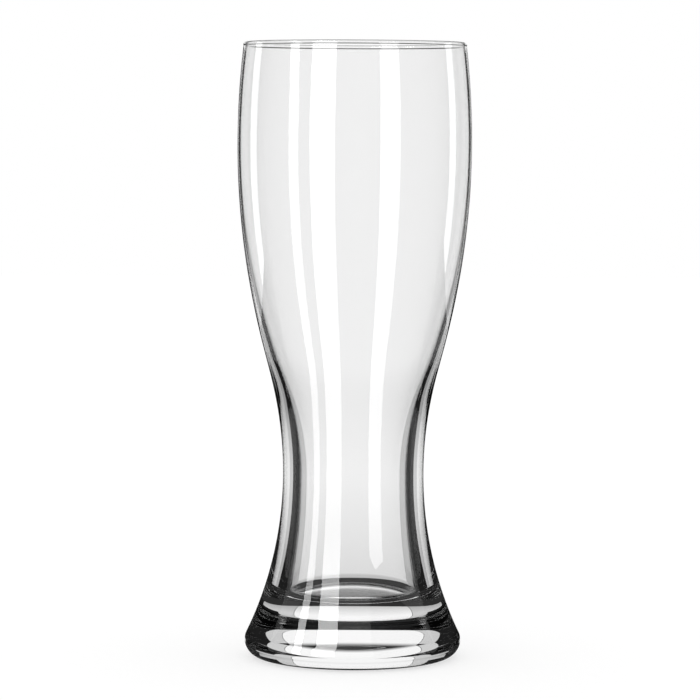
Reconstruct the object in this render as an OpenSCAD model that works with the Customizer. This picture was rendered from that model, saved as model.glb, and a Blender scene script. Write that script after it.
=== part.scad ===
// Footed pilsner glass: a bulged cup on a heavy flared foot, its outline one chain of tangent curves.
// Millimetres, +Z up. The origin is on the axis, in the plane the glass stands on.

/* [Outside] */

// Height from the standing ring to the top of the rim
height = 230; // [205:1:250]

// Widest diameter of the bowl
bulge_d = 87.4; // [76:0.1:100]

// Distance of the bulge below the top of the rim
bulge_drop = 38; // [25:0.1:50]

// How far the rim draws in from the bulge, on the radius
rim_inset = 2.05; // [0.8:0.05:5]

// Narrowest diameter of the outside
waist_d = 52.7; // [46:0.1:60]

// Height of the waist
waist_z = 69.1; // [56:0.1:80]

// Height at which the side turns from bellied to hollow
turn_z = 109.4; // [96:0.1:126]

// Height above and below the turn over which belly and hollow pass into each other
turn_ease = 8; // [2:0.5:14]

// Widest diameter of the foot
foot_d = 81.1; // [72:0.1:94]

// Radius of the rounded heel
heel_r = 6.3; // [4:0.05:9]

/* [Rim] */

// Thickness of the wall just below the rim
rim_wall = 1.25; // [0.9:0.05:2]

// How far the rim bead stands out from each face of the wall
bead_out = 0.18; // [0.08:0.01:0.4]

// Radius of the hollow blend below the bead
neck_r = 1.2; // [0.6:0.1:2.5]

/* [Cavity] */

// Thickness of the wall at the bulge
bulge_wall = 1.05; // [0.9:0.05:2]

// Thickness of the wall at the narrowest part of the cavity
waist_wall = 6.45; // [4.5:0.05:9]

// How far the narrowest part of the cavity lies below the outside waist
waist_lag = 1.1; // [0:0.1:7]

// Height at which the cavity's side turns from bellied to hollow
cavity_turn_z = 103.2; // [90:0.1:118]

// Height above and below the cavity's turn over which its belly and hollow pass into each other
cavity_turn_ease = 8; // [2:0.5:14]

// How far the cavity widens again on the way down to its floor, on the radius
cavity_flare = 4.3; // [2:0.1:7]

// Height of the cavity's floor round its edge
floor_z = 21.8; // [17:0.1:27]

// How far the cavity's floor rises from its edge to its middle
floor_rise = 1.35; // [0.5:0.05:2.5]

// Radius of the corner round the cavity's floor
floor_corner_r = 3.1; // [1.5:0.1:5]

/* [Foot] */

// Thickness of the bowl's floor round its edge, down to the joint with the foot
bowl_floor = 5; // [3:0.1:8]

// Width of the flat ring the glass stands on
ring_w = 5.4; // [2:0.1:8]

// Depth of the hollow under the foot
punt_depth = 3.75; // [1.5:0.05:5]

// Radius of the edge between the ring and the hollow
punt_edge_r = 1.3; // [0.5:0.1:3]

/* [Hidden] */

bulge_r = bulge_d / 2;
bulge_z = height - bulge_drop;
waist_r = waist_d / 2;
foot_r = foot_d / 2;

// Rim bead, and the circles of the two wall faces that run up into it
bead_r = rim_wall / 2 + bead_out;
bead_c = [bulge_r - rim_inset - bead_r, height - bead_r];
top_out_r = rise_r(bulge_r, bead_c.x + rim_wall / 2, bead_c.y - bulge_z);
top_in_r = rise_r(bulge_r - bulge_wall, bead_c.x - rim_wall / 2, bead_c.y - bulge_z);
top_out_c = [bulge_r - top_out_r, bulge_z];
top_in_c = [bulge_r - bulge_wall - top_in_r, bulge_z];
neck_out_c = lower_meet(top_out_c, top_out_r + neck_r, bead_c, bead_r + neck_r);
neck_in_c = lower_meet(top_in_c, top_in_r - neck_r, bead_c, bead_r + neck_r);

// Cavity
cavity_waist_r = waist_r - waist_wall;
cavity_waist_z = waist_z - waist_lag;
cavity_foot_r = cavity_waist_r + cavity_flare;
floor_corner_c = [cavity_foot_r - floor_corner_r, floor_z + floor_corner_r];
floor_dome_r = dome_r(floor_corner_c.x, floor_corner_r, floor_rise);
floor_dome_c = [0, floor_z + floor_rise - floor_dome_r];

// Joint between bowl and foot
joint_z = floor_z - bowl_floor;

// Hollow under the foot: a dome that runs into the standing ring over a rounded edge
punt_edge_c = [foot_r - heel_r - ring_w, punt_edge_r];
punt_dome_r = dome_r(punt_edge_c.x, punt_edge_r, punt_depth);
punt_dome_c = [0, punt_depth - punt_dome_r];

// Whole section of the glass, from the axis under the foot round the rim to the axis in the cavity
section = concat(
    [[0, punt_depth]],
    tail(arc(punt_dome_c, punt_dome_r, 90, bearing(punt_dome_c, punt_edge_c), 16)),
    tail(arc(punt_edge_c, punt_edge_r, bearing(punt_edge_c, punt_dome_c), -90, 6)),
    wall_up(foot_r, heel_r, 0, -90, waist_r, waist_z, bulge_r, bulge_z, turn_z, turn_ease),
    tail(arc(top_out_c, top_out_r, 0, bearing(top_out_c, neck_out_c), 14)),
    tail(arc(neck_out_c, neck_r, 180 + bearing(top_out_c, neck_out_c), bearing(neck_out_c, bead_c), 5)),
    tail(arc(bead_c, bead_r, bearing(bead_c, neck_out_c), 360 + bearing(bead_c, neck_in_c), 20)),
    tail(arc(neck_in_c, neck_r, bearing(neck_in_c, bead_c), bearing(top_in_c, neck_in_c), 5)),
    tail(arc(top_in_c, top_in_r, bearing(top_in_c, neck_in_c), 0, 14)),
    tail(reversed(wall_up(cavity_foot_r, floor_corner_r, floor_z, bearing(floor_corner_c, floor_dome_c),
        cavity_waist_r, cavity_waist_z, bulge_r - bulge_wall, bulge_z, cavity_turn_z, cavity_turn_ease))),
    tail(arc(floor_dome_c, floor_dome_r, bearing(floor_dome_c, floor_corner_c), 90, 16))
);

glass = [0.92, 0.95, 0.95, 0.45];

$fn = 180;

// Points along an arc of n steps
function arc(c, r, a0, a1, n) =
    [for (i = [0:n]) c + r * [cos(a0 + (a1 - a0) * i / n), sin(a0 + (a1 - a0) * i / n)]];

function tail(points) = [for (i = [1:len(points) - 1]) points[i]];

function reversed(points) = [for (i = [len(points) - 1:-1:0]) points[i]];

// Direction from p to q, in degrees
function bearing(p, q) = atan2(q.y - p.y, q.x - p.x);

// Radius of the arc that leaves radius r0 upright and reaches r1 over the height h
function rise_r(r0, r1, h) = (h * h + (r0 - r1) * (r0 - r1)) / (2 * (r0 - r1));

// The lower of the two points at distance r1 from c1 and r2 from c2, c2 lying to the right of c1
function lower_meet(c1, r1, c2, r2) =
    let (
        d = c2 - c1,
        l = norm(d),
        along = (l * l + r1 * r1 - r2 * r2) / (2 * l),
        aside = sqrt(r1 * r1 - along * along)
    )
    c1 + along / l * d + aside / l * [d.y, -d.x];

// Radius of the dome that rises by the rise at the axis and runs into a rounded edge of radius corner_r,
// whose centre is at radius edge_r
function dome_r(edge_r, corner_r, rise) = (edge_r * edge_r - 2 * corner_r * rise + rise * rise) / (2 * rise);

// Radius at height z of a side that is upright at its waist (w_r, w_z) and at its bulge (b_r, b_z): hollow below
// the turn, bellied above it, with a curvature that changes evenly over the ease
function side_r(z, w_r, w_z, b_r, b_z, t_z, ease) =
    let (
        below = t_z - w_z,
        above = b_z - t_z,
        bend = (b_r - w_r) / ((below + above) * (below * above / 2 - ease * ease / 6)),
        into = max(z - t_z + ease, 0)
    )
    z < t_z + ease
        ? w_r + bend * (above * pow(z - w_z, 2) / 2 - (below + above) * pow(into, 3) / (12 * ease))
        : b_r - bend * below * pow(b_z - z, 2) / 2;

// Outline from the foot of a waisted wall up to its bulge: corner rounded from the start angle, flare, waist, side
function wall_up(base_r, corner_r, base_z, start, w_r, w_z, b_r, b_z, t_z, ease) =
    let (
        steps = 40,
        corner_c = [base_r - corner_r, base_z + corner_r],
        flare_r = (pow(w_r - corner_c.x, 2) + pow(w_z - corner_c.y, 2) - corner_r * corner_r)
            / (2 * (base_r - w_r)),
        flare_c = [w_r + flare_r, w_z],
        sweep = bearing(corner_c, flare_c)
    )
    concat(
        arc(corner_c, corner_r, start, sweep, 18),
        tail(arc(flare_c, flare_r, 180 + sweep, 180, 20)),
        [for (i = [1:steps])
            let (z = w_z + (b_z - w_z) * i / steps)
            [side_r(z, w_r, w_z, b_r, b_z, t_z, ease), z]]
    );

// Cup: rim bead, thin wall thickening to the waist, rounded and slightly domed cavity floor
module bowl() {
    color(glass)
    rotate_extrude()
    intersection() {
        polygon(section);
        translate([0, joint_z])
        square([2 * bulge_r, height]);
    }
}

// Solid flared foot with rounded heel, standing ring and domed hollow underneath
module foot() {
    color(glass)
    rotate_extrude()
    intersection() {
        polygon(section);
        square([2 * foot_r, joint_z]);
    }
}

bowl();
foot();
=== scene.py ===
"""Clear pilsner glass: bowl and foot of fire-polished soda-lime glass, in a bright-field studio.

Metres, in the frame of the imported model: +Z up, the origin on the glass's axis in the plane it stands on.
The glass's section is a chain of tangent curves, sized as in the model, revolved into smooth closed meshes.
"""
import math

import bpy
import numpy as np
from mathutils import Matrix, Vector

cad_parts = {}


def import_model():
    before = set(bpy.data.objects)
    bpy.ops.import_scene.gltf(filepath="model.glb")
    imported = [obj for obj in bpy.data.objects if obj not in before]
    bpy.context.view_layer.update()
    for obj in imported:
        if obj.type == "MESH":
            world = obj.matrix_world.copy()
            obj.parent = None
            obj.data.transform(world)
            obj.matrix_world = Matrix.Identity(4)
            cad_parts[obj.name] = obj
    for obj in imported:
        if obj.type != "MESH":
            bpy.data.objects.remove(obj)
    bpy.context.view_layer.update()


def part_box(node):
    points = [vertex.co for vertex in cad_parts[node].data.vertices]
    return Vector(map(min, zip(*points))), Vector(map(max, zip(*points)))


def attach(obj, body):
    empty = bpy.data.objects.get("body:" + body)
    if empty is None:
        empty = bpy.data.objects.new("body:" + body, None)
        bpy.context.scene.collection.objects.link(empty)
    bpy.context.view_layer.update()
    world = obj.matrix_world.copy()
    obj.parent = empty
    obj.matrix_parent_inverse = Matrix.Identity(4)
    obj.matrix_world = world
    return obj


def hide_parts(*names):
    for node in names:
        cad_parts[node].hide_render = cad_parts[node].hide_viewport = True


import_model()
bowl_low, bowl_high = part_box("bowl")
foot_low, foot_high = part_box("foot")

MM = 0.001

# Outside of the glass: what the frame's boxes give, and the rest of the section
HEIGHT = bowl_high.z
JOINT_Z = bowl_low.z
BULGE_R = bowl_high.x
BULGE_Z = HEIGHT - 38 * MM
RIM_R = BULGE_R - 2.05 * MM
WAIST_R, WAIST_Z = 26.35 * MM, 69.1 * MM
TURN_Z, TURN_EASE = 109.4 * MM, 8 * MM
FOOT_R, FOOT_Z = foot_high.x, foot_low.z
HEEL_R = 6.3 * MM

# Rim bead
RIM_WALL = 1.25 * MM
BEAD_R = RIM_WALL / 2 + 0.18 * MM
NECK_R = 1.2 * MM

# Cavity
CAVITY_BULGE_R = BULGE_R - 1.05 * MM
CAVITY_WAIST_R, CAVITY_WAIST_Z = WAIST_R - 6.45 * MM, WAIST_Z - 1.1 * MM
CAVITY_TURN_Z, CAVITY_TURN_EASE = 103.2 * MM, 8 * MM
CAVITY_FOOT_R = CAVITY_WAIST_R + 4.3 * MM
CAVITY_FLOOR_Z = JOINT_Z + 5 * MM
CAVITY_FLOOR_RISE = 1.35 * MM
CAVITY_CORNER_R = 3.1 * MM

# Underside of the foot
RING_IN_R = FOOT_R - HEEL_R - 5.4 * MM
PUNT_DEPTH = 3.75 * MM
PUNT_EDGE_R = 1.3 * MM

# Fineness of the meshes: faces round the axis, and their longest length and turn along the section
SEGMENTS = 216
STEP = 1.3 * MM
STEP_TURN = math.radians(4)

# Glass, and the faint waves that the mould leaves in its faces
GLASS_IOR = 1.52
WAVE_LENGTH = 28 * MM
WAVE_DEPTH = 0.06 * MM


def srgb(code):
    """Linear RGBA of an sRGB hex colour."""
    parts = [int(code[i:i + 2], 16) / 255 for i in (1, 3, 5)]
    return [p / 12.92 if p <= 0.04045 else ((p + 0.055) / 1.055) ** 2.4 for p in parts] + [1.0]


def add(tree, kind, inputs=None, **settings):
    """A new node: settings are its properties, inputs its values or the sockets that feed it."""
    node = tree.nodes.new(kind)
    for name, value in settings.items():
        setattr(node, name, value)
    for key, value in (inputs or {}).items():
        if isinstance(value, bpy.types.NodeSocket):
            tree.links.new(value, node.inputs[key])
        else:
            node.inputs[key].default_value = value
    return node


def blank_material(name):
    """A material with nothing in its node tree yet."""
    material = bpy.data.materials.new(name)
    material.use_nodes = True
    material.node_tree.nodes.clear()
    return material


def bearing(p, q):
    """Direction from p to q, in degrees."""
    return math.degrees(math.atan2(q[1] - p[1], q[0] - p[0]))


def arc(centre, radius, start, end, sign=1):
    """Points and normals along an arc: its centre plus the radius times a turning unit vector.

    The angles are in degrees. sign is -1 for a hollow arc, whose normals point at its centre.
    """
    sweep = math.radians(abs(end - start))
    steps = math.ceil(max(sweep / STEP_TURN, sweep * radius / STEP))
    angle = np.radians(np.linspace(start, end, steps + 1))
    out = np.stack([np.cos(angle), np.sin(angle)], 1)
    return np.asarray(centre) + radius * out, sign * out


def rise_radius(r0, r1, height):
    """Radius of the arc that leaves radius r0 upright and reaches r1 over the height."""
    return (height ** 2 + (r0 - r1) ** 2) / (2 * (r0 - r1))


def lower_meet(c1, r1, c2, r2):
    """The lower of the two points at distance r1 from c1 and r2 from c2, c2 lying to the right of c1."""
    d = np.subtract(c2, c1)
    length = np.hypot(*d)
    along = (length ** 2 + r1 ** 2 - r2 ** 2) / (2 * length)
    aside = math.sqrt(r1 ** 2 - along ** 2)
    return np.add(c1, (along * d + aside * np.array([d[1], -d[0]])) / length)


def side(waist_r, waist_z, bulge_r, bulge_z, turn_z, ease):
    """Points and normals of a side from its waist up to its bulge, about one STEP apart.

    It is hollow below the turn and bellied above it, upright at both ends, and its curvature changes evenly
    over the ease on either side of the turn: two parabolas in height, joined by a cubic.
    """
    below, above = turn_z - waist_z, bulge_z - turn_z
    bend = (bulge_r - waist_r) / ((below + above) * (below * above / 2 - ease ** 2 / 6))
    z = np.linspace(waist_z, bulge_z, math.ceil((bulge_z - waist_z) / STEP) + 1)
    into = np.maximum(z - turn_z + ease, 0)
    eased = z < turn_z + ease
    radius = np.where(
        eased,
        waist_r + bend * (above * (z - waist_z) ** 2 / 2 - (below + above) * into ** 3 / (12 * ease)),
        bulge_r - bend * below * (bulge_z - z) ** 2 / 2)
    slope = bend * np.where(
        eased,
        above * (z - waist_z) - (below + above) * into ** 2 / (4 * ease),
        below * (bulge_z - z))
    normal = np.stack([np.ones_like(z), -slope], 1) / np.sqrt(1 + slope[:, None] ** 2)
    return np.stack([radius, z], 1), normal


def base(base_r, corner_r, base_z, start, waist_r, waist_z):
    """Foot of a waisted wall: its corner's arc, and its flare's centre, radius and start angle.

    The flare is the circle that is upright at the waist and touches the corner's circle. The corner's arc
    runs from the start angle to the point where they touch.
    """
    corner = (base_r - corner_r, base_z + corner_r)
    flare_r = (
        (waist_r - corner[0]) ** 2 + (waist_z - corner[1]) ** 2 - corner_r ** 2
    ) / (2 * (base_r - waist_r))
    flare = (waist_r + flare_r, waist_z)
    sweep = bearing(corner, flare)
    return arc(corner, corner_r, start, sweep), (flare, flare_r, 180 + sweep)


def dome(edge_r, edge_z, corner_r, rise):
    """Centre and radius of the dome that rises at the axis and runs into a rounded edge centred at edge_r.

    edge_z is the level of the edge's lowest point.
    """
    radius = (edge_r ** 2 - 2 * corner_r * rise + rise ** 2) / (2 * rise)
    return (0, edge_z + rise - radius), radius


def backward(curve):
    """The same curve run the other way, with the material on its other side."""
    points, normals = curve
    return points[::-1], -normals[::-1]


def rim():
    """Curves from the outside bulge over the beaded rim to the cavity's bulge."""
    bead = (RIM_R - BEAD_R, HEIGHT - BEAD_R)
    out_r = rise_radius(BULGE_R, bead[0] + RIM_WALL / 2, bead[1] - BULGE_Z)
    in_r = rise_radius(CAVITY_BULGE_R, bead[0] - RIM_WALL / 2, bead[1] - BULGE_Z)
    out_c, in_c = (BULGE_R - out_r, BULGE_Z), (CAVITY_BULGE_R - in_r, BULGE_Z)
    neck_out = lower_meet(out_c, out_r + NECK_R, bead, BEAD_R + NECK_R)
    neck_in = lower_meet(in_c, in_r - NECK_R, bead, BEAD_R + NECK_R)
    return [
        arc(out_c, out_r, 0, bearing(out_c, neck_out)),
        arc(neck_out, NECK_R, 180 + bearing(out_c, neck_out), bearing(neck_out, bead), -1),
        arc(bead, BEAD_R, bearing(bead, neck_out), 360 + bearing(bead, neck_in)),
        arc(neck_in, NECK_R, bearing(neck_in, bead), bearing(in_c, neck_in), -1),
        arc(in_c, in_r, bearing(in_c, neck_in), 0, -1),
    ]


def joint_angle(flare_r):
    """Angle on the outside flare's circle at which it meets the joint."""
    return 180 + math.degrees(math.asin((WAIST_Z - JOINT_Z) / flare_r))


def foot_curves():
    """Curves of the foot: from the axis over the dome under it, the standing ring and heel, to the joint."""
    edge = (RING_IN_R, FOOT_Z + PUNT_EDGE_R)
    punt, punt_r = dome(RING_IN_R, FOOT_Z, PUNT_EDGE_R, PUNT_DEPTH)
    heel, (flare, flare_r, start) = base(FOOT_R, HEEL_R, FOOT_Z, -90, WAIST_R, WAIST_Z)
    return [
        arc(punt, punt_r, 90, bearing(punt, edge), -1),
        arc(edge, PUNT_EDGE_R, 180 + bearing(punt, edge), 270),
        heel,
        arc(flare, flare_r, start, joint_angle(flare_r), -1),
    ]


def bowl_curves():
    """Curves of the bowl: from the joint up the outside, over the rim and down the cavity to the axis."""
    _, (flare, flare_r, _) = base(FOOT_R, HEEL_R, FOOT_Z, -90, WAIST_R, WAIST_Z)
    corner = (CAVITY_FOOT_R - CAVITY_CORNER_R, CAVITY_FLOOR_Z + CAVITY_CORNER_R)
    bottom, bottom_r = dome(corner[0], CAVITY_FLOOR_Z, CAVITY_CORNER_R, CAVITY_FLOOR_RISE)
    turn, (hollow, hollow_r, start) = base(
        CAVITY_FOOT_R, CAVITY_CORNER_R, CAVITY_FLOOR_Z, bearing(corner, bottom),
        CAVITY_WAIST_R, CAVITY_WAIST_Z)
    cavity_side = side(
        CAVITY_WAIST_R, CAVITY_WAIST_Z, CAVITY_BULGE_R, BULGE_Z, CAVITY_TURN_Z, CAVITY_TURN_EASE)
    return [
        arc(flare, flare_r, joint_angle(flare_r), 180, -1),
        side(WAIST_R, WAIST_Z, BULGE_R, BULGE_Z, TURN_Z, TURN_EASE),
        *rim(),
        backward(cavity_side),
        backward(arc(hollow, hollow_r, start, 180, -1)),
        backward(turn),
        arc(bottom, bottom_r, bearing(bottom, corner), 90),
    ]


def revolve(pairs):
    """Pairs of radius and height turned about Z: each becomes a ring of SEGMENTS points."""
    turn = np.arange(SEGMENTS) * 2 * np.pi / SEGMENTS
    around = np.stack([np.cos(turn), np.sin(turn)], 1)
    flat = pairs[:, None, :1] * around[None]
    return np.concatenate([flat, np.repeat(pairs[:, None, 1:], SEGMENTS, 1)], 2).reshape(-1, 3)


def glass_mesh(name, curves, joint_first, materials):
    """A closed mesh: the curves' points revolved about Z, closed on the axis by two fans, one the joint face.

    The curves run from the axis to the joint, or with joint_first from the joint to the axis. Each ring has
    its own normal, straight from the curves, so that both pieces meet in one smooth surface.
    """
    points = np.concatenate([curves[0][0]] + [p[1:] for p, _ in curves[1:]])
    normals = np.concatenate([curves[0][1]] + [n[1:] for _, n in curves[1:]])
    if joint_first:
        rings, first_z, last_z = slice(None, -1), JOINT_Z, points[-1, 1]
    else:
        rings, first_z, last_z = slice(1, None), points[0, 1], JOINT_Z
    points, normals = points[rings], normals[rings]
    vertices = np.concatenate([revolve(points), [(0, 0, first_z), (0, 0, last_z)]])
    smooth = np.concatenate([revolve(normals), [(0, 0, -1), (0, 0, 1)]])

    here = np.arange(SEGMENTS)
    after = (here + 1) % SEGMENTS
    row = np.arange(len(points) - 1)[:, None] * SEGMENTS
    above = row + SEGMENTS
    quads = np.stack([row + here, row + after, above + after, above + here], 2).reshape(-1, 4)
    last_row = row[-1] + SEGMENTS
    first_tip, last_tip = len(vertices) - 2, len(vertices) - 1
    first_fan = np.stack([np.full(SEGMENTS, first_tip), after, here], 1)
    last_fan = np.stack([last_row + here, last_row + after, np.full(SEGMENTS, last_tip)], 1)

    first_normals, last_normals = smooth[first_fan.ravel()], smooth[last_fan.ravel()]
    if joint_first:
        first_normals[:] = smooth[first_tip]
    else:
        last_normals[:] = smooth[last_tip]
    slots = np.repeat([0, int(joint_first), int(not joint_first)], [len(quads), SEGMENTS, SEGMENTS])

    mesh = bpy.data.meshes.new(name)
    mesh.from_pydata(vertices.tolist(), [], quads.tolist() + first_fan.tolist() + last_fan.tolist())
    mesh.polygons.foreach_set("use_smooth", np.ones(len(mesh.polygons), bool))
    mesh.normals_split_custom_set(
        np.concatenate([smooth[quads.ravel()], first_normals, last_normals]).tolist())
    for material in materials:
        mesh.materials.append(material)
    mesh.polygons.foreach_set("material_index", slots.astype(np.int32))
    mesh.update()
    return mesh


def glass_piece(name, node, curves, joint_first, materials):
    """A piece of the glass that takes over the node."""
    piece = bpy.data.objects.new(name, glass_mesh(name, curves, joint_first, materials))
    bpy.context.scene.collection.objects.link(piece)
    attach(piece, "root")
    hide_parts(node)


def glass_material():
    """Fire-polished soda-lime glass: colourless and clear, its faces very slightly wavy from the mould."""
    material = blank_material("fire_polished_soda_lime_glass")
    tree = material.node_tree
    place = add(tree, "ShaderNodeTexCoord")
    waves = add(tree, "ShaderNodeTexNoise", {
        "Vector": place.outputs["Object"], "Scale": 1 / WAVE_LENGTH, "Detail": 1.0, "Roughness": 0.4})
    bump = add(tree, "ShaderNodeBump", {
        "Height": waves.outputs["Fac"], "Strength": 1.0, "Distance": WAVE_DEPTH})
    body = add(tree, "ShaderNodeBsdfPrincipled", {
        "Normal": bump.outputs["Normal"], "Base Color": srgb("#FFFFFF"), "Roughness": 0.0, "IOR": GLASS_IOR,
        "Transmission Weight": 1.0})
    add(tree, "ShaderNodeOutputMaterial", {"Surface": body.outputs[0]})
    return material


def joint_material():
    """The fused joint inside the glass, which the eye can't see: light passes it unchanged."""
    material = blank_material("fused_glass_joint")
    tree = material.node_tree
    clear = add(tree, "ShaderNodeBsdfTransparent")
    add(tree, "ShaderNodeOutputMaterial", {"Surface": clear.outputs[0]})
    return material


materials = [glass_material(), joint_material()]
glass_piece("bowl_glass", "bowl", bowl_curves(), True, materials)
glass_piece("foot_glass", "foot", foot_curves(), False, materials)

# Camera: a long lens a little below the rim, as in the photograph
PIXELS = 700
GLASS_HEIGHT_PX = 614.5
AXIS_PX = 353.8
EYE = Vector((0, -1.248, 0.2017))
AIM = Vector((0, 0, 0.1152))
ROLL = math.radians(0.27)

back = (EYE - AIM).normalized()
right = Vector((1, 0, 0))
facing = Matrix((right, back.cross(right), back)).transposed().to_4x4()
focal_px = (EYE - AIM).length * GLASS_HEIGHT_PX / HEIGHT
camera = bpy.data.objects.new("camera", bpy.data.cameras.new("camera"))
bpy.context.scene.collection.objects.link(camera)
bpy.context.scene.camera = camera
camera.matrix_world = Matrix.Translation(EYE) @ facing @ Matrix.Rotation(ROLL, 4, "Z")
camera.data.sensor_width = 36
camera.data.lens = camera.data.sensor_width * focal_px / PIXELS
camera.data.shift_x = (PIXELS / 2 - AXIS_PX) / PIXELS
bpy.context.view_layer.update()

# Bright field behind the glass, dimmer below the floor, where a strength of 1 is white
FIELD_Y = 0.75
FIELD_LEFT, FIELD_RIGHT = 0.325, 0.315
FIELD_FOOT_Z, FIELD_TOP_Z, FIELD_CAP_Z = -1.0, 0.33, 0.52
FIELD_FADE, FIELD_FADE_LEVELS = 0.6, (-0.33, -0.02)
CAP_STRENGTHS, CAP_LEVELS = (1.0, 0.1), (0.37, 0.5)

# Its dimmer wings, beyond a thin gap, and the low ones further out
WING_STRENGTH = 0.65
WING_GAP, WING_WIDTH, WING_TOP_Z = 4 * MM, 171 * MM, 0.40
FAR_WING_X, FAR_WING_TOP_Z = 0.95, 0.03

# Dark sheets beside and over the glass, which draw its edges, and a dark disc under it, which the glass shows
# through its base: a painted shadow of the foot
DARK = 0.012
SHADOW_DISC_R, SHADOW_DISC_Z, SHADOW_DISC_STRENGTH = 56 * MM, -0.2 * MM, 0.03
CEILING_R, CEILING_Z = 2.4, 1.02
DISC_SIDES = 72
FLAG_X, FLAG_Y, FLAG_SPLIT_Z = 56 * MM, 40 * MM, 115 * MM
LOW_FLAG_X, LOW_FLAG_FOOT_Z = 0.35, -0.3
HIGH_FLAG_X, HIGH_FLAG_TOP_Z = 0.16, 0.6

# Dark ribbons along the outline, narrower near the turn of the side
RIBBON_FOOT_Z, RIBBON_GAP, RIBBON_ROWS = 1 * MM, 3 * MM, 90
RIBBON_WIDTHS, RIBBON_TURN_OFF = (12 * MM, 24 * MM), (5 * MM, 20 * MM)

# Lights in front: their usual distance, and the levels between which their strength changes
FRONT_DISTANCE = 0.8
FRONT_LEVELS = (0.15, 0.5)

# Floor, just under the dark disc of painted shadow
FLOOR_Z, FLOOR_REACH = -0.3 * MM, 3.0


def emitter(name, strengths, levels):
    """A luminous sheet, its strength changing evenly from the lower to the upper of the two levels."""
    material = blank_material(name)
    tree = material.node_tree
    place = add(tree, "ShaderNodeTexCoord")
    height = add(tree, "ShaderNodeSeparateXYZ", {0: place.outputs["Object"]})
    ramp = add(tree, "ShaderNodeMapRange", {
        "Value": height.outputs["Z"], "From Min": levels[0], "From Max": levels[1],
        "To Min": strengths[0], "To Max": strengths[1]})
    light = add(tree, "ShaderNodeEmission", {"Strength": ramp.outputs[0]})
    add(tree, "ShaderNodeOutputMaterial", {"Surface": light.outputs[0]})
    return material


def stand(name, corners, faces, strengths, levels=(0, 1), mirrored=True, through=True):
    """A luminous sheet that rides with the camera, which doesn't see it.

    mirrored lets the outer face of the glass reflect it, through lets it show through the glass.
    """
    mesh = bpy.data.meshes.new(name)
    mesh.from_pydata([list(map(float, c)) for c in corners], [], faces)
    mesh.materials.append(emitter(name, strengths, levels))
    sheet = bpy.data.objects.new(name, mesh)
    bpy.context.scene.collection.objects.link(sheet)
    sheet.parent = camera
    sheet.matrix_parent_inverse = camera.matrix_world.inverted()
    sheet.visible_camera = False
    sheet.visible_diffuse = False
    sheet.visible_shadow = False
    sheet.visible_glossy = mirrored
    sheet.visible_transmission = through


def card(name, turn, distance, edges, heights, strengths, levels=(0, 1), taper=None, **seen):
    """An upright flat card facing the glass.

    turn is its bearing in degrees from straight behind the glass, positive to the right; edges are its two
    sides and heights its two ends. With taper, a level and two edges, it narrows, widens or leans from that
    level to those edges at its upper end.
    """
    a = math.radians(turn)
    along = np.array([math.cos(a), -math.sin(a), 0])
    out = np.array([math.sin(a), math.cos(a), 0])
    level, *ends = taper or (sum(heights) / 2, *edges)
    rows = [(heights[0], edges), (level, edges), (heights[1], ends)]
    corners = [along * x + out * distance + (0, 0, z) for z, pair in rows for x in pair]
    stand(name, corners, [(0, 1, 3, 2), (2, 3, 5, 4)], strengths, levels, **seen)


def panel(name, edges, top, strength):
    """Part of the bright field, hung from the top to far below the plinth, dimmer down there."""
    card(name, 0, FIELD_Y, edges, (FIELD_FOOT_Z, top), (FIELD_FADE * strength, strength), FIELD_FADE_LEVELS)


def front(name, bearings, heights, strengths, distance=FRONT_DISTANCE, taper=None):
    """A card in front of or beside the glass, between two bearings, that only its outer face shows."""
    middle, half = sum(bearings) / 2, math.radians(bearings[1] - bearings[0]) / 2
    reach = distance * math.tan(half)
    card(name, middle, distance, (-reach, reach), heights, strengths, FRONT_LEVELS, taper, through=False)


def ribbon(name, sign):
    """A dark strip cut along the outline just behind the glass, which only its face shows, at its edge."""
    outline = np.concatenate([p for p, _ in foot_curves()[2:] + bowl_curves()[:3]])
    z = np.linspace(RIBBON_FOOT_Z, HEIGHT, RIBBON_ROWS)
    radius = np.interp(z, outline[:, 1], outline[:, 0])
    inner = np.stack([sign * (radius + RIBBON_GAP), np.full_like(z, FLAG_Y), z], 1)
    reach = np.interp(abs(z - TURN_Z), RIBBON_TURN_OFF, RIBBON_WIDTHS)
    outer = inner + sign * reach[:, None] * (1, 0, 0)
    i = np.arange(RIBBON_ROWS - 1)
    faces = np.stack([i, i + 1, i + 1 + RIBBON_ROWS, i + RIBBON_ROWS], 1)
    stand(name, np.concatenate([inner, outer]), faces.tolist(), (DARK, DARK), through=False)


def disc(name, radius, z, strength, **seen):
    """A level round sheet on the glass's axis."""
    a = np.linspace(0, 2 * math.pi, DISC_SIDES, endpoint=False)
    ring = np.stack([radius * np.cos(a), radius * np.sin(a), np.full_like(a, z)], 1)
    stand(name, ring, [tuple(range(DISC_SIDES))], (strength, strength), **seen)


def beside(sign, near, far):
    """Edges of a card that lies between two distances from the middle, left of it for sign -1."""
    return sorted((sign * near, sign * far))


# Dark disc just under the foot, seen only in and through the glass: painted shadow of the foot on the floor
disc("painted_foot_shadow", SHADOW_DISC_R, SHADOW_DISC_Z, SHADOW_DISC_STRENGTH)
disc("ceiling", CEILING_R, CEILING_Z, DARK, through=False)

field = (-FIELD_LEFT, FIELD_RIGHT)
panel("backdrop", field, FIELD_TOP_Z, 1.0)
card("backdrop_top", 0, FIELD_Y, field, (FIELD_TOP_Z, FIELD_CAP_Z), CAP_STRENGTHS, CAP_LEVELS)

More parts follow.
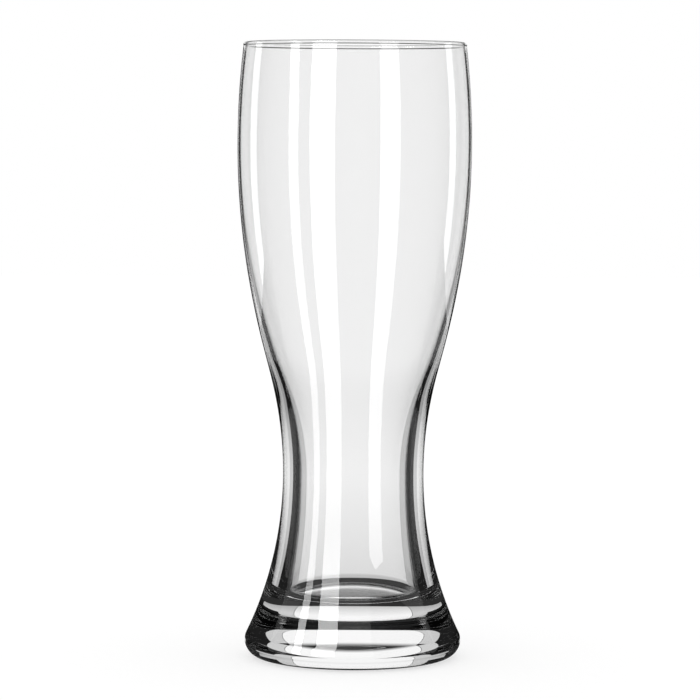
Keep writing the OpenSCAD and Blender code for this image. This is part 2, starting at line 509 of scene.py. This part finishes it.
for sign, hand, field_edge in ((-1, "left", FIELD_LEFT), (1, "right", FIELD_RIGHT)):
    wing_near = field_edge + WING_GAP
    wing_far = wing_near + WING_WIDTH
    panel(hand + "_wing", beside(sign, wing_near, wing_far), WING_TOP_Z, WING_STRENGTH)
    panel("far_" + hand + "_wing", beside(sign, wing_far, FAR_WING_X), FAR_WING_TOP_Z, WING_STRENGTH)
    card(hand + "_low_flag", 0, FLAG_Y, beside(sign, FLAG_X, LOW_FLAG_X), (LOW_FLAG_FOOT_Z, FLAG_SPLIT_Z),
         (DARK, DARK))
    card(hand + "_high_flag", 0, FLAG_Y, beside(sign, FLAG_X, HIGH_FLAG_X), (FLAG_SPLIT_Z, HIGH_FLAG_TOP_Z),
         (DARK, DARK), mirrored=False)
    ribbon(hand + "_ribbon", sign)

# Strips of light on the face of the glass: two from the left in front, one from the right, kept off the heel
front("key_softbox", bearings=(-161.4, -136.6), heights=(-0.7, 1.0), strengths=(4.5, 10.0))
front("key_strip", bearings=(-124.6, -114), heights=(-0.7, 1.0), strengths=(4.5, 9.0),
      taper=(0.3, 0.166, 0.314))
front("fill_strip", bearings=(134.7, 155.2), heights=(-4.0, 1.68), strengths=(4.5, 4.5), distance=5,
      taper=(1.42, 0.19, 0.19))
front("fill_flag", bearings=(125, 165), heights=(-0.05, 0.02), strengths=(DARK, DARK), distance=0.06)

# Thin strips near both edges, the pale sides beyond them, and the dim room behind the camera
front("left_rim_strip", bearings=(-70.8, -58.9), heights=(-0.5, 0.5), strengths=(3.8, 3.8))
front("right_rim_strip", bearings=(64.8, 76), heights=(-0.5, 0.5), strengths=(3.8, 3.8))
front("left_side", bearings=(-58.5, -34), heights=(-0.5, 0.6), strengths=(1.2, 1.2))
front("right_side", bearings=(34, 64), heights=(-0.5, 0.6), strengths=(1.2, 1.2))
front("room", bearings=(157, 198), heights=(-0.7, 1.0), strengths=(0.6, 0.6))


def floor_material():
    """Pale seamless floor: the camera sees it white with the glass's soft shadow, the glass sees past it."""
    material = blank_material("pale_floor")
    tree = material.node_tree
    path = add(tree, "ShaderNodeLightPath")
    pale = add(tree, "ShaderNodeBsdfDiffuse", {"Color": srgb("#A0A0A0")})
    glow = add(tree, "ShaderNodeEmission", {"Strength": 0.68})
    both = add(tree, "ShaderNodeAddShader", {0: pale.outputs[0], 1: glow.outputs[0]})
    clear = add(tree, "ShaderNodeBsdfTransparent")
    through = add(tree, "ShaderNodeMath", {
        0: path.outputs["Is Glossy Ray"], 1: path.outputs["Is Transmission Ray"]}, operation="MAXIMUM")
    mix = add(tree, "ShaderNodeMixShader", {0: through.outputs[0], 1: both.outputs[0], 2: clear.outputs[0]})
    add(tree, "ShaderNodeOutputMaterial", {"Surface": mix.outputs[0]})
    return material


def floor():
    """A level square about the glass, just under it."""
    mesh = bpy.data.meshes.new("floor")
    signs = ((-1, -1), (1, -1), (1, 1), (-1, 1))
    mesh.from_pydata([(x * FLOOR_REACH, y * FLOOR_REACH, FLOOR_Z) for x, y in signs], [], [(0, 1, 2, 3)])
    mesh.materials.append(floor_material())
    plane = bpy.data.objects.new("floor", mesh)
    bpy.context.scene.collection.objects.link(plane)


def world():
    """Soft light from all round on the floor; a dim studio in the glass's face, a dark one through it."""
    space = bpy.data.worlds.new("studio")
    bpy.context.scene.world = space
    space.use_nodes = True
    tree = space.node_tree
    tree.nodes.clear()
    path = add(tree, "ShaderNodeLightPath")
    lit = add(tree, "ShaderNodeMath", {
        0: path.outputs["Is Camera Ray"], 1: path.outputs["Is Diffuse Ray"]}, operation="MAXIMUM")
    dark = add(tree, "ShaderNodeBackground", {"Color": srgb("#1E1E1E")})
    dim = add(tree, "ShaderNodeBackground", {"Color": srgb("#B8B8B8")})
    white = add(tree, "ShaderNodeBackground", {"Color": srgb("#FFFFFF")})
    inside = add(tree, "ShaderNodeMixShader", {
        0: path.outputs["Is Transmission Ray"], 1: dim.outputs[0], 2: dark.outputs[0]})
    mix = add(tree, "ShaderNodeMixShader", {0: lit.outputs[0], 1: inside.outputs[0], 2: white.outputs[0]})
    add(tree, "ShaderNodeOutputWorld", {"Surface": mix.outputs[0]})


floor()
world()

scene = bpy.context.scene
scene.view_settings.view_transform = "Standard"

# Enough bounces for light that crosses both walls and the base
scene.cycles.max_bounces = 32
scene.cycles.transmission_bounces = 32
scene.cycles.glossy_bounces = 16
scene.cycles.transparent_max_bounces = 32
